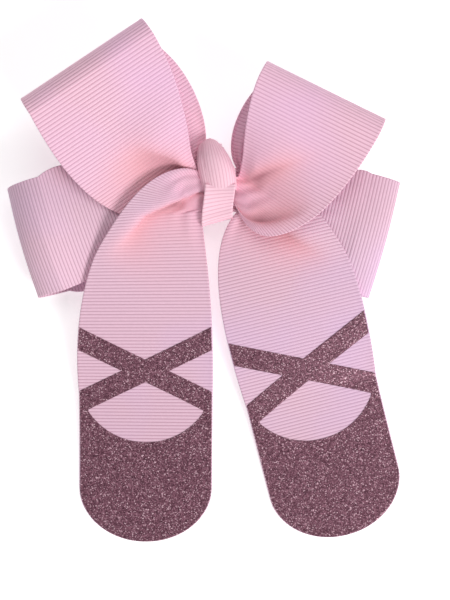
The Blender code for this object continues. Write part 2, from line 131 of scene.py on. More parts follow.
def gathered(side, run, k, end):
    """One selvedge of a gathered stretch, from its wide end to the waist."""
    place = run["waist"][k]
    slot = np.array((side * WAIST_X, place, run["level"]))
    lead = np.array((side * LEAD, place * LEAD_SPREAD, run["level"] + LEAD_RISE))
    return np.vstack([bezier((lead, *run["handles"][k], end), np.linspace(1, 0, CURVE_STEPS)), slot])


def loop_edges(shape):
    """The selvedges of a loop's front and of its back, each from the fold's outermost line to the waist."""
    fold = [np.asarray(end, float) for end in shape["fold"]]
    along = fold[1] - fold[0]
    inward = np.array((along[1], -along[0], 0.0)) / math.hypot(along[0], along[1])
    if inward @ (fold[0] + fold[1]) > 0:
        inward = -inward
    turn = np.radians(np.linspace(0, 90, ROLL_STEPS))[:, None]
    made = []
    for run, sense in ((shape["front"], 1), (shape["back"], -1)):
        stretch = []
        for k in (0, 1):
            inset, height = shape["roll"][k]
            roll = fold[k] + inward * inset * (1 - np.cos(turn))
            roll = roll + sense * height * UP * np.sin(turn)
            stretch.append(Edge(np.vstack([roll, gathered(shape["side"], run, k, roll[-1])[1:]])))
        made.append(stretch)
    return made


def tail_edges(shape):
    """The selvedges of a tail, from the line through its tip to the waist."""
    turn = math.radians(shape["heading"])
    ahead = np.array((math.sin(turn), -math.cos(turn), 0.0))
    across = np.array((math.cos(turn), math.sin(turn), 0.0)) * RIBBON_WIDTH
    tip = np.array((*shape["tip"], TIP_HEIGHT))
    back = np.linspace(0, shape["strip"], STRIP_STEPS)[:, None]
    made = []
    for k in (0, 1):
        strip = tip - ahead * back + (k - 0.5) * across
        strip = strip + TAIL_RISE * UP * (back / shape["strip"]) ** 3
        made.append(Edge(np.vstack([strip, gathered(shape["side"], shape["run"], k, strip[-1])[1:]])))
    return made


def ease(x):
    """A smooth rise from 0 to 1 as x does."""
    x = np.clip(x, 0, 1)
    return x * x * (3 - 2 * x)


class Pleat:
    """A crease that runs out from the waist and dies away.

    start and end are shares of the way across, at the waist and where the crease ends. high and low are how
    far its lip stands up and its valley goes down. lap is how far the lip leans over the valley. facing is 1
    if the lip is on the far side of the crease, and -1 if it is on the near side. soft is how rounded the
    step between them is, and spread is how far across the lip and the valley reach. bend is 1 for a straight
    crease and more for one that turns away late. fade is the share of the length where it starts to die away.
    """

    def __init__(self, start, end, length, high, low, lap, facing=1, soft=0.045, spread=(0.25, 0.3), bend=1.0,
                 fade=0.3):
        self.start, self.end, self.length = start, end, length
        self.high, self.low, self.lap, self.facing = high, low, lap, facing
        self.soft, self.spread, self.bend, self.fade = soft, spread, bend, fade

    def form(self, out, share):
        """The strength of the crease, the lip and its fall, and the valley and its rise, all from 0 to 1."""
        reach = np.clip(out / self.length, 0, 1)
        centre = self.start + (self.end - self.start) * reach**self.bend
        strength = PLEAT_START + (1 - PLEAT_START) * ease(out / PLEAT_GROWTH)
        strength = strength * (1 - ease((reach - self.fade) / (1 - self.fade)))
        x = (share - centre) * self.facing
        lip = 0.5 * (1 + np.tanh(x / (self.soft * (1 + 2.0 * reach))))
        fall = np.exp(-np.clip(x, 0, None) / self.spread[0])
        rise = np.exp(np.clip(x + self.soft, None, 0) / self.spread[1])
        return strength, lip, fall, (1 - lip) * rise

    def push(self, out, share, across):
        """The shift at a distance out from the waist and a share across."""
        strength, lip, fall, valley = self.form(out, share)
        lift = (strength * (self.high * lip * fall - self.low * valley))[..., None] * UP
        return lift - (strength * self.lap * lip * fall**2 * self.facing)[..., None] * across

    def depth(self, out, share):
        """How strongly the valley shows, from 0 to 1, for the painted bounce light and painted shade in the
        ribbon's colour.
        """
        strength, _, _, valley = self.form(out, share)
        return strength * valley


class Surface:
    """The middle surface of a stretch of ribbon, carried by its two selvedges."""

    def __init__(self, edges, pleats=(), gathers=GATHERS, belly=0.0):
        self.edges, self.pleats, self.gathers, self.belly = edges, pleats, gathers, belly
        self.length = max(edge.length for edge in edges)
        self.mean_length = sum(edge.length for edge in edges) / 2

    def out(self, distance, share):
        """How far out of the waist a point lies."""
        reach = self.edges[0].length * (1 - share) + self.edges[1].length * share
        return np.maximum(reach - LEAD - distance, 0.0)

    def at(self, distance, share):
        """Points at distances from the fold or the tip, and shares across. Both are arrays of one shape."""
        near, far = (edge.at(np.minimum(distance, edge.length)) for edge in self.edges)
        base = near * (1 - share[..., None]) + far * share[..., None]
        across = (far - near) / np.maximum(np.linalg.norm(far - near, axis=-1, keepdims=True), 1e-6)
        out = self.out(distance, share)
        folds, deep, reach = self.gathers
        fade = (GATHER_START + (1 - GATHER_START) * ease(out / GATHER_GROWTH)) * (1 - ease(out / reach))
        ruffle = deep * fade * np.sin(2 * math.pi * folds * share)
        swell = self.belly * np.sin(math.pi * share) * ease(out / BELLY_GROWTH)
        base = base + (ruffle + swell)[..., None] * UP
        for pleat in self.pleats:
            base = base + pleat.push(out, share, across)
        return base

    def shade(self, distance, share):
        """How deep in a valley or among the gathers a point lies, from 0 to 1, which sets the painted bounce
        light and painted shade in the ribbon's colour.
        """
        out = self.out(distance, share)
        deep = GATHER_SHADE * (1 - ease(out / GATHER_SHADE_REACH))
        for pleat in self.pleats:
            deep = deep + pleat.depth(out, share)
        return np.clip(deep, 0, 1)


def across_shares(columns=58):
    """Shares across a ribbon, closer together at its selvedges."""
    even = np.linspace(0, 1, columns)
    edge = np.array((0.006, 0.014, 0.026))
    return np.unique(np.concatenate([even, edge, 1 - edge]))


def grid_normals(points):
    """Unit normals of a grid of points. Where the grid has no area they are the mean of the others."""
    along = np.gradient(points, axis=0)
    over = np.gradient(points, axis=1)
    facing = np.cross(along, over)
    size = np.linalg.norm(facing, axis=-1, keepdims=True)
    good = size[..., 0] > 1e-7
    facing = np.where(size > 1e-7, facing / np.maximum(size, 1e-9), 0.0)
    mean = facing[good].mean(axis=0) if good.any() else UP
    facing[~good] = mean / max(np.linalg.norm(mean), 1e-9)
    return facing


def rib_profile(distance):
    """The height of the ribs, from 0 in a groove to 1 on a crest."""
    return np.abs(np.sin(np.pi * distance / RIB_PITCH)) ** 0.7


def ribbon_mesh(name, points, distance, shares, thickness=RIBBON_THICK, ribs=RIB_HEIGHT, width=RIBBON_WIDTH,
                valley=None):
    """A closed ribbon from a grid of points, with its woven ribs standing out of both faces.

    distance, along the ribbon, and width place the weave. valley is how deep in a crease each point lies,
    kept as an attribute for the painted bounce light and painted shade in the colour.
    """
    rows, columns = points.shape[:2]
    normals = grid_normals(points)
    height = thickness / 2 - ribs + ribs * rib_profile(distance)
    edge = np.minimum(shares, 1 - shares) * width
    bead = 1.0 + BEAD * np.exp(-((edge - BEAD_INSET) / BEAD_WIDTH) ** 2)
    bead = np.where(edge < EDGE_WIDTH, EDGE_THIN, bead)
    lift = normals * (height * bead[None, :])[..., None]
    top, bottom = points + lift, points - lift
    verts = np.concatenate([top.reshape(-1, 3), bottom.reshape(-1, 3)])
    index = np.arange(rows * columns).reshape(rows, columns)
    a, b, c, d = index[:-1, :-1], index[:-1, 1:], index[1:, 1:], index[1:, :-1]
    face_top = np.stack([a, b, c, d], axis=-1).reshape(-1, 4)
    face_bottom = face_top[:, ::-1] + rows * columns
    rim = np.concatenate([index[0, :], index[1:, -1], index[-1, -2::-1], index[-2:0:-1, 0]])
    after = np.roll(rim, -1)
    side = np.stack([after, rim, rim + rows * columns, after + rows * columns], axis=-1)
    faces = np.concatenate([face_top, face_bottom, side])
    mesh = bpy.data.meshes.new(name)
    mesh.from_pydata((verts * MM + KNOT).tolist(), [], faces.tolist())
    layer = mesh.uv_layers.new(name="weave")
    flat = np.stack([np.broadcast_to(distance, (rows, columns)) * MM,
                     np.broadcast_to(shares * width * MM, (rows, columns))], axis=-1).reshape(-1, 2)
    flat = np.concatenate([flat, flat])
    loops = np.empty(len(mesh.loops), np.int32)
    mesh.loops.foreach_get("vertex_index", loops)
    layer.data.foreach_set("uv", flat[loops].astype(np.float32).ravel())
    depth = np.zeros((rows, columns)) if valley is None else valley
    # The valley attribute carries the painted bounce light and painted shade that the material puts into the
    # colour.
    mark = mesh.attributes.new("valley", "FLOAT", "POINT")
    mark.data.foreach_set("value", np.tile(depth.ravel(), 2).astype(np.float32))
    made = bpy.data.objects.new(name, mesh)
    bpy.context.collection.objects.link(made)
    clean(made)
    return made


def clean(made, distance=1e-7):
    """Merges the points that meet, where a gathered edge ends, and turns every face outwards."""
    work = bmesh.new()
    work.from_mesh(made.data)
    bmesh.ops.remove_doubles(work, verts=work.verts, dist=distance)
    bmesh.ops.dissolve_degenerate(work, edges=work.edges, dist=distance)
    bmesh.ops.recalc_face_normals(work, faces=work.faces)
    work.to_mesh(made.data)
    work.free()
    made.data.shade_smooth()


# ---------------------------------------------------------------- the ribbons

# A loop's fold runs between two ends, one to each selvedge, and rolls over by an inset and a height there.
# Its front and its back each pass the waist at a level and two places, by two handles to each selvedge.
# A tail has a tip, a heading in degrees, a flat strip behind the tip and then one such run.
LOOPS = {
    "upper_left_loop": {
        "side": -1,
        "fold": ((-79, 30, 30), (-31, 62, 30)),
        "roll": ((9, 8.5), (9, 8.5)),
        "front": {"level": L4, "waist": (-14, 1.5), "handles": (((-40, -24, 15), (-58, -10, 27)),
                                                              ((-9, 3, 17), (-12, 32, 34)))},
        "back": {"level": L3, "waist": (-5, 12), "handles": (((-32, -12, 17), (-58, 0, 22)),
                                                             ((-3, 16, 17), (-8, 42, 20)))},
        "pleats": [Pleat(0.97, 0.36, 56, high=4.5, low=0.8, lap=5.0, bend=1.2, fade=0.5,
                         spread=(0.3, 0.45))],
    },
    "upper_right_loop": {
        "side": 1,
        "fold": ((66, 22, 30), (19, 45, 30)),
        "roll": ((9, 8.5), (9, 8.5)),
        "front": {"level": L5, "waist": (-11, 1), "handles": (((16, -38, 24), (42, -22, 30)),
                                                              ((9, 3, 20), (8, 20, 38)))},
        "back": {"level": L3, "waist": (-6, 4.5), "handles": (((28, -12, 17), (50, 2, 18)),
                                                            ((2, 12, 17), (5, 26, 20)))},
        "pleats": [Pleat(0.97, 0.3, 60, high=4.0, low=0.5, lap=2.5, fade=0.35, spread=(0.3, 0.08)),
                   Pleat(0.24, 0.06, 46, high=3.5, low=1.0, lap=3.0, facing=-1, fade=0.5,
                         spread=(0.2, 0.2))],
        "gathers": ((5, 0.5, 24.0), CURLED_GATHERS),
    },
    "lower_left_loop": {
        "side": -1,
        "fold": ((-88, -4, 14), (-76, -49, 10)),
        "roll": ((15, 11.5), (12, 8)),
        "front": {"level": L2, "waist": (0, -12), "handles": (((-40, -8, 15), (-58, 16, 17)),
                                                              ((-26, -26, 14), (-46, -38, 6)))},
        "back": {"level": L1, "waist": (-1, -10), "handles": (((-32, 0, 14), (-60, 3, 4)),
                                                              ((-26, -26, 13), (-50, -50, 1)))},
        "gathers": (DEEP_GATHERS, DEEP_GATHERS),
        "belly": 5.0,
    },
    "lower_right_loop": {
        "side": 1,
        "fold": ((75, -1, 13), (63, -49, 6)),
        "roll": ((13, 5.5), (13, 5.5)),
        "front": {"level": L2, "waist": (0, -12), "handles": (((38, -6, 15), (54, 8, 20)),
                                                              ((26, -26, 14), (40, -38, 8)))},
        "back": {"level": L1, "waist": (-1, -10), "handles": (((30, 0, 14), (56, 12, 2)),
                                                              ((24, -26, 13), (40, -42, 0)))},
        "gathers": (DEEP_GATHERS, DEEP_GATHERS),
        "belly": 5.0,
    },
}
TAILS = {
    "left_tail": {
        "side": -1,
        "tip": (-32.2, -154),
        "heading": -0.5,
        "strip": 64,
        "run": {"level": L5, "waist": (1.5, -13), "handles": (((-20, 13, 30), (-64, -16, 25)),
                                                              ((-8, -22, 18), (-2, -42, 14)))},
        "pleats": [Pleat(0.52, 0.03, 66, high=4.5, low=1.5, lap=6.0, facing=-1, soft=0.035, fade=0.55,
                         spread=(0.4, 0.17))],
    },
    "right_tail": {
        "side": 1,
        "tip": (55, -151),
        "heading": 14.5,
        "strip": 64,
        "run": {"level": L4, "waist": (-13, -3), "handles": (((-4, -26, 17), (-4, -50, 14)),
                                                             ((38, 2, 21), (56, -20, 24)))},
        "pleats": [Pleat(0.35, 0.95, 62, high=3.5, low=1.5, lap=5.0, soft=0.035, fade=0.55,
                         spread=(0.4, 0.17))],
    },
}


def ribbon_loop(name, shape):
    """A loop, from the waist along its back, round the fold and along its front, and its mean length."""
    shares = across_shares()
    front, back = loop_edges(shape)
    above, below = shape.get("gathers", (GATHERS, GATHERS))
    belly = shape.get("belly", 0.0)
    front = Surface(front, shape.get("pleats", ()), above, belly)
    back = Surface(back, (), below, belly)
    points, distances, valleys = [], [], []
    for surface, sense, skip in ((back, -1, 0), (front, 1, 1)):
        run = np.arange(0, surface.length, ROW_STEP)
        where, over = np.meshgrid(run, shares, indexing="ij")
        points.append(surface.at(where, over)[::sense][skip:])
        distances.append((run[::sense] * sense)[skip:])
        valleys.append(surface.shade(where, over)[::sense][skip:])
    distance = np.concatenate(distances)[:, None] + LOOP_START
    made = ribbon_mesh(name + "_ribbon", np.concatenate(points), distance, shares,
                       valley=np.concatenate(valleys))
    return made, front.mean_length + back.mean_length


def toe_end(across, half_width=RIBBON_WIDTH / 2):
    """How far up from the tip the rounded end is, at a distance across from the middle."""
    share = np.clip(np.abs(across) / half_width, 0, 1)
    return TOE_ROUNDING * (1 - np.sqrt(1 - share * share))


def ribbon_tail(name, shape):
    """A tail, from its rounded end to the waist, and its surface."""
    shares = across_shares()
    surface = Surface(tail_edges(shape), shape["pleats"])
    start = toe_end((shares - 0.5) * RIBBON_WIDTH)
    run = np.arange(0, surface.length, ROW_STEP)
    where = np.maximum(run[:, None], start[None, :])
    over = np.broadcast_to(shares, where.shape)
    points = surface.at(where, over)
    made = ribbon_mesh(name + "_ribbon", points, where, shares, valley=surface.shade(where, over))
    return made, surface


# ---------------------------------------------------------------- glitter vinyl

VINYL_THICK = 0.14
VINYL_MARGIN = 0.45
STRAP_CROSSING = 74.6
STRAP_SLOPE = 0.505
STRAP_HALF_HEIGHT = 5.0
TOE_ARC_LOW = 43.0
TOE_ARC_RADIUS = 29.4
TOE_JOINS_STRAP = 24.6
TIP_MARGIN, SIDE_EASE = 0.15, 0.1
VINYL_COLUMN = 0.7
CAP_ROWS, STRAP_ROWS = 110, 26
VINYL_GAP, VINYL_DIP = 0.02, 0.04


def vinyl_edges(across):
    """Where the toe cap and the crossed straps begin and end, from the tip up."""
    rise = STRAP_SLOPE * abs(across)
    lower, upper = STRAP_CROSSING - rise, STRAP_CROSSING + rise
    cap_bottom = TIP_MARGIN + float(toe_end(across, RIBBON_WIDTH / 2 - VINYL_MARGIN + SIDE_EASE))
    low_bottom = lower - STRAP_HALF_HEIGHT
    cap_top = low_bottom
    if abs(across) < TOE_JOINS_STRAP - 0.01:
        cap_top = TOE_ARC_LOW + TOE_ARC_RADIUS - math.sqrt(TOE_ARC_RADIUS**2 - across**2)
    low_top = min(lower + STRAP_HALF_HEIGHT, STRAP_CROSSING)
    high_bottom = max(upper - STRAP_HALF_HEIGHT, STRAP_CROSSING)
    return (cap_bottom, cap_top), (low_bottom, low_top), (high_bottom, upper + STRAP_HALF_HEIGHT)


def shoe_vinyl(name, surface):
    """The toe cap and straps, pressed onto the tail's ribs."""
    half = RIBBON_WIDTH / 2 - VINYL_MARGIN
    touch = STRAP_HALF_HEIGHT / STRAP_SLOPE
    one_side = np.unique(np.concatenate([np.arange(0, half, VINYL_COLUMN), [touch, TOE_JOINS_STRAP, half]]))
    columns = np.concatenate([-one_side[:0:-1], one_side])
    shares = columns / RIBBON_WIDTH + 0.5
    verts, faces = [], []
    for band, rows in enumerate((CAP_ROWS, STRAP_ROWS, STRAP_ROWS)):
        spans = np.array([vinyl_edges(x)[band] for x in columns])
        t = np.linspace(0, 1, rows)[:, None]
        where = spans[None, :, 0] + (spans[None, :, 1] - spans[None, :, 0]) * t
        over = np.broadcast_to(shares, where.shape)
        middle = surface.at(where, over)
        ahead = surface.at(where + 0.2, over) - surface.at(where - 0.2, over)
        right = surface.at(where, over + 0.004) - surface.at(where, over - 0.004)
        facing = np.cross(right, ahead)
        facing /= np.linalg.norm(facing, axis=-1, keepdims=True)
        facing *= np.sign(facing[..., 2:])
        lift = RIBBON_THICK / 2 + VINYL_GAP + VINYL_THICK / 2 - VINYL_DIP * (1 - rib_profile(where))
        first = len(verts)
        verts.extend((middle + facing * lift[..., None]).reshape(-1, 3))
        count = len(columns)
        index = first + np.arange(rows * count).reshape(rows, count)
        quads = np.stack([index[:-1, :-1], index[:-1, 1:], index[1:, 1:], index[1:, :-1]], axis=-1)
        faces.extend(quads.reshape(-1, 4).tolist())
    mesh = bpy.data.meshes.new(name)
    mesh.from_pydata((np.array(verts) * MM + KNOT).tolist(), [], faces)
    made = bpy.data.objects.new(name, mesh)
    bpy.context.collection.objects.link(made)
    clean(made, 2e-5)
    solid = made.modifiers.new("thickness", "SOLIDIFY")
    solid.thickness = VINYL_THICK * MM
    solid.offset = 0.0
    return made


# ---------------------------------------------------------------- centre knot

KNOT_REACH, KNOT_LEAN = 6.7, 4.6
KNOT_LOW, KNOT_HEIGHT = -5.0, 21.4
KNOT_START = 200 * RIB_PITCH


def swept_ribbon(name, centre, half_width, distance, cup, slant):
    """A narrow ribbon across X, along a route in the YZ plane. cup and slant bow it and skew it across."""
    shares = np.linspace(0, 1, 25)
    side = 2 * shares - 1
    tangent = np.gradient(centre[:, 1:], axis=0)
    tangent /= np.linalg.norm(tangent, axis=1, keepdims=True)
    outward = np.stack([np.zeros(len(centre)), tangent[:, 1], -tangent[:, 0]], axis=1)
    points = centre[:, None] + outward[:, None] * (cup[:, None] * (1 - side**2))[..., None]
    points[..., 0] += side * half_width[:, None]
    points[..., 1] += side * slant[:, None]
    return ribbon_mesh(name, points, distance[:, None], shares, RIBBON_THICK, NARROW_RIB, BAND_WEAVE_WIDTH)


def knot_band():
    """The strand that goes round the waist, from under the knot's loop over the front, down and behind."""
    low, high, bottom, top, radius = -17.6, 14.4, L1 - 1.6, L5 + 2.0, 2.4
    route = []
    corners = (((high - radius, top - radius), 90, 0), ((high - radius, bottom + radius), 0, -90),
               ((low + radius, bottom + radius), -90, -180), ((low + radius, top - radius), -180, -270))
    for (y, z), start, end in corners:
        for angle in np.radians(np.linspace(start, end, 14)):
            route.append((0.0, y + radius * math.cos(angle), z + radius * math.sin(angle)))
    route.append(route[0])
    edge = Edge(np.array(route))
    distance = np.arange(0, edge.length, ROW_STEP)
    centre = edge.at(distance)
    front = ease((centre[:, 2] - 16) / 3)
    low_end = ease((-centre[:, 1] - 2) / 14)
    high_end = ease((centre[:, 1] - 3) / 9)
    centre[:, 0] += 0.3 - 1.4 * low_end - 2.9 * high_end
    centre[:, 2] += 4.2 * front * ease((centre[:, 1] + 16) / 12) * ease((-2.0 - centre[:, 1]) / 1.2)
    half = 6.2 + 0.2 * low_end - 2.8 * high_end
    return swept_ribbon("knot_band", centre, half, distance, 0.5 * front, 1.8 * low_end)


def knot_loop(name, shift, start, end):
    """The loop of the knot: the ribbon crosses over the front sideways, so its ribs run up and down.

    It starts and ends at angles in degrees about its own axis, from straight up.
    """
    turn = np.arange(math.radians(start), math.radians(end), ROW_STEP / KNOT_REACH)
    up = np.linspace(0, 1, 40)
    theta, v = np.meshgrid(turn, up, indexing="ij")
    half = KNOT_REACH * (0.86 + 0.14 * np.sin(math.pi * v)) * (1 - v**3.2) ** 0.5 + 0.3
    x = shift[0] - KNOT_LEAN * v**1.4 + half * np.sin(theta)
    y = shift[1] + KNOT_LOW + KNOT_HEIGHT * v - np.sin(theta) * np.sin(math.pi * v)
    puff = 3.0 + 3.4 * np.sin(math.pi * np.clip(1.05 * v, 0, 1))
    bow = np.sign(np.cos(theta)) * np.abs(np.cos(theta)) ** 0.7
    z = shift[2] + puff * bow - 3.6 * v**4
    points = np.stack([x, y, z], axis=-1)
    distance = (turn * KNOT_REACH)[:, None] + KNOT_START
    return ribbon_mesh(name, points, distance, up, RIBBON_THICK, NARROW_RIB, KNOT_WEAVE_WIDTH)


# ---------------------------------------------------------------- clip, glue, thread

THREAD_TURNS, THREAD_SPAN, THREAD_RADIUS = 8, 3.4, 0.22
LINING_TAPER, LINING_TIP_WIDTH, LINING_TIP_ROUND = 18, 2.4, 2.3
SPRING_RADIUS, SPRING_WIRE, SPRING_TURNS, SPRING_PITCH, SPRING_LEG = 1.4, 0.3, 5, 0.72, 10.0
SPRING_LEG_SLOPE = 17.5


def tube(name, route, radius):
    """A round wire or thread along a route."""
    curve = bpy.data.curves.new(name, "CURVE")
    curve.dimensions = "3D"
    curve.bevel_depth = radius * MM
    curve.bevel_resolution = 3
    curve.use_fill_caps = True
    line = curve.splines.new("POLY")
    line.points.add(len(route) - 1)
    for point, place in zip(line.points, np.asarray(route) * MM + KNOT):
        point.co = (*place, 1.0)
    made = bpy.data.objects.new(name, curve)
    bpy.context.collection.objects.link(made)
    made.data.splines[0].use_smooth = True
    return made


def binding_thread():
    """Turns of white thread round the gathered waist."""
    low, high, bottom, top = -14.6, 13.2, L1 - 0.6, L5 + 0.5
    route = []
    for angle in np.linspace(0, 2 * math.pi * THREAD_TURNS, 48 * THREAD_TURNS):
        share = angle / (2 * math.pi * THREAD_TURNS)
        c, s = math.cos(angle), math.sin(angle)
        square = (abs(c) ** 6 + abs(s) ** 6) ** (-1 / 6)
        route.append((THREAD_SPAN * (share - 0.5), (low + high) / 2 + (high - low) / 2 * c * square,
                      (bottom + top) / 2 + (top - bottom) / 2 * s * square))
    return tube("waist_thread", route, THREAD_RADIUS)


def glue_blob():
    """A flattened bead of glue between the lining and the back of the knot's band."""
    low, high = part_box("hot_glue")
    centre, size = (low + high) / 2, high - low
    work = bmesh.new()
    bmesh.ops.create_uvsphere(work, u_segments=48, v_segments=24, radius=0.5)
    for vert in work.verts:
        x, y, z = vert.co
        push = 1 + 0.05 * math.sin(9 * x + 1) * math.cos(7 * y)
        flat = math.copysign(min(abs(z) * 1.6, 0.5), z)
        vert.co = (centre.x + x * size.x * push, centre.y + y * size.y * push * 1.05,
                   centre.z + flat * size.z)
    mesh = bpy.data.meshes.new("glue_bead")
    work.to_mesh(mesh)
    work.free()
    mesh.shade_smooth()
    made = bpy.data.objects.new("glue_bead", mesh)
    bpy.context.collection.objects.link(made)
    return made


def lining_ribbon():
    """The strip of ribbon that covers the clip's fixed arm."""
    low, high = ((np.array(corner) - KNOT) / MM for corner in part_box("clip_lining"))
    distance = np.arange(0, high[0] - low[0], ROW_STEP)
    shares = np.linspace(0, 1, 13)
    x = low[0] + distance
    taper = LINING_TIP_WIDTH + (high[1] - LINING_TIP_WIDTH) * ease(distance / LINING_TAPER)
    half = np.where(distance < LINING_TAPER, taper, high[1])
    round_tip = np.sqrt(np.clip(1 - ((LINING_TIP_ROUND - distance) / LINING_TIP_ROUND) ** 2, 0.02, 1))
    half = np.where(distance < LINING_TIP_ROUND, half * round_tip, half)
    points = np.zeros((len(x), len(shares), 3))
    points[..., 0] = x[:, None]
    points[..., 1] = (low[1] + high[1]) / 2 + half[:, None] * (2 * shares - 1)
    points[..., 2] = (low[2] + high[2]) / 2
    return ribbon_mesh("lining_ribbon", points, distance[:, None], shares, LINING_THICK, LINING_RIB,
                       LINING_WEAVE_WIDTH)


def spring_pieces():
    """The coil with its upper leg, which stays with the bow, and the lower leg, which stays with the jaw."""
    slope = math.radians(SPRING_LEG_SLOPE)
    start, end = math.pi / 2, 1.5 * math.pi - slope + 2 * math.pi * SPRING_TURNS
    wide = SPRING_PITCH * (end - start) / (2 * math.pi)
    route = [(PIN_X + SPRING_LEG * 0.9, -wide / 2, PIN_Z + SPRING_RADIUS)]
    for angle in np.linspace(start, end, 32 * SPRING_TURNS):
        y = wide * ((angle - start) / (end - start) - 0.5)
        route.append((PIN_X + SPRING_RADIUS * math.cos(angle), y, PIN_Z + SPRING_RADIUS * math.sin(angle)))
    last = np.array(route[-1])
    leg = [last, last + SPRING_LEG * np.array((math.cos(slope), 0, -math.sin(slope)))]
    return tube("spring_coil", route, SPRING_WIRE), tube("spring_leg", leg, SPRING_WIRE)


# ---------------------------------------------------------------- materials


# Painted light in the folds: a warm pink painted in as light bounced into valleys and gathers, and a dark
# colour painted in as shade deep in the creases.
PAINTED_BOUNCE_PINK, PAINTED_CREASE_SHADE = (0.97, 0.46, 0.51), (0.42, 0.15, 0.19)
THREAD_PITCH = 0.22


class Nodes:
    """A material's node tree, with short calls to add and join nodes."""

    def __init__(self, name):
        self.material = bpy.data.materials.new(name)
        self.material.use_nodes = True
        self.tree = self.material.node_tree
        self.shader = self.tree.nodes["Principled BSDF"]

    def add(self, kind, values=None, **settings):
        node = self.tree.nodes.new("ShaderNode" + kind)
        for key, value in settings.items():
            setattr(node, key, value)
        for key, value in (values or {}).items():
            node.inputs[key].default_value = value
        return node

    def join(self, source, target):
        self.tree.links.new(source, target)

    def ramp(self, source, stops):
        node = self.add("ValToRGB")
        self.join(source, node.inputs[0])
        first, last = node.color_ramp.elements
        first.position, first.color = stops[0][0], (*stops[0][1], 1)
        last.position, last.color = stops[-1][0], (*stops[-1][1], 1)
        for position, colour in stops[1:-1]:
            stop = node.color_ramp.elements.new(position)
            stop.color = (*colour, 1)
        return node.outputs[0]

    def maths(self, operation, first, second=None):
        node = self.add("Math", operation=operation)
        for k, value in enumerate((first, second)):
            if value is None:
                continue
            if isinstance(value, (int, float)):
                node.inputs[k].default_value = value
            else:
                self.join(value, node.inputs[k])
        return node.outputs[0]


def grosgrain(name, light, deep, painted_sheen_tint):
    """Ribbed ribbon: fine warp threads over the ribs, painted shade in the grooves between them, painted
    sheen in lavender patches, painted bounce light and painted shade in the folds, and a faint sheen.
    """
    n = Nodes(name)
    uv = n.add("UVMap", uv_map="weave")
    split = n.add("SeparateXYZ")
    n.join(uv.outputs[0], split.inputs[0])
    turn = n.maths("MULTIPLY", split.outputs[0], math.pi / (RIB_PITCH * MM))
    rib = n.maths("POWER", n.maths("ABSOLUTE", n.maths("SINE", turn)), 0.7)
    warp = n.maths("SINE", n.maths("MULTIPLY", split.outputs[1], 2 * math.pi / (THREAD_PITCH * MM)))
    threads = n.add("TexNoise", {"Scale": 900.0, "Detail": 3.0, "Roughness": 0.6})
    coordinates = n.add("TexCoord")
    n.join(coordinates.outputs["Object"], threads.inputs["Vector"])
    # Painted sheen: lavender patches at random places stand in for the lilac sheen that light gives the
    # weave.
    painted_sheen_patches = n.add("TexNoise", {"Scale": 22.0, "Detail": 2.0, "Roughness": 0.5})
    n.join(coordinates.outputs["Object"], painted_sheen_patches.inputs["Vector"])
    # Painted shade in the grooves: the colour darkens from the crests of the ribs into the grooves between
    # them.
    base = n.ramp(rib, [(0.0, deep), (0.75, light), (1.0, light)])
    mix = n.add("MixRGB", {"Color2": (*painted_sheen_tint, 1)}, blend_type="MIX")
    share = n.maths("MULTIPLY", n.maths("SUBTRACT", painted_sheen_patches.outputs["Fac"], 0.45), 1.2)
    n.join(n.maths("MAXIMUM", share, 0.0), mix.inputs[0])
    n.join(base, mix.inputs[1])
    # Painted bounce light and painted shade: the valley attribute warms the colour in the valleys and darkens
    # it deep in the creases, whatever the lamps do.
    painted_shade_amount = n.add("Attribute", attribute_name="valley")
    painted_bounce_mix = n.add("MixRGB", {"Color2": (*PAINTED_BOUNCE_PINK, 1)}, blend_type="MIX")
    n.join(n.maths("MINIMUM", n.maths("MULTIPLY", painted_shade_amount.outputs["Fac"], 1.1), 0.75), painted_bounce_mix.inputs[0])
    n.join(mix.outputs[0], painted_bounce_mix.inputs[1])
    crease = n.add("MixRGB", {"Color2": (*PAINTED_CREASE_SHADE, 1)}, blend_type="MIX")
    n.join(n.maths("MULTIPLY", n.maths("POWER", painted_shade_amount.outputs["Fac"], 4.0), 0.75), crease.inputs[0])
    n.join(painted_bounce_mix.outputs[0], crease.inputs[1])
    value = n.add("HueSaturation")
    shade = n.maths("MULTIPLY_ADD", threads.outputs["Fac"], 0.12)
    shade.node.inputs[2].default_value = 0.94
    n.join(shade, value.inputs["Value"])
    n.join(crease.outputs[0], value.inputs["Color"])
    n.join(value.outputs[0], n.shader.inputs["Base Color"])
    relief = n.maths("MULTIPLY_ADD", warp, 0.16)
    n.join(threads.outputs["Fac"], relief.node.inputs[2])
    bump = n.add("Bump", {"Strength": 0.35, "Distance": 0.00006})
    n.join(relief, bump.inputs["Height"])
    n.join(bump.outputs[0], n.shader.inputs["Normal"])
    rough = n.maths("MULTIPLY_ADD", threads.outputs["Fac"], 0.2)
    rough.node.inputs[2].default_value = 0.5
    n.join(rough, n.shader.inputs["Roughness"])
    n.shader.inputs["Sheen Weight"].default_value = 0.25
    n.shader.inputs["Sheen Roughness"].default_value = 0.4
    n.shader.inputs["Specular IOR Level"].default_value = 0.3
    return n.material


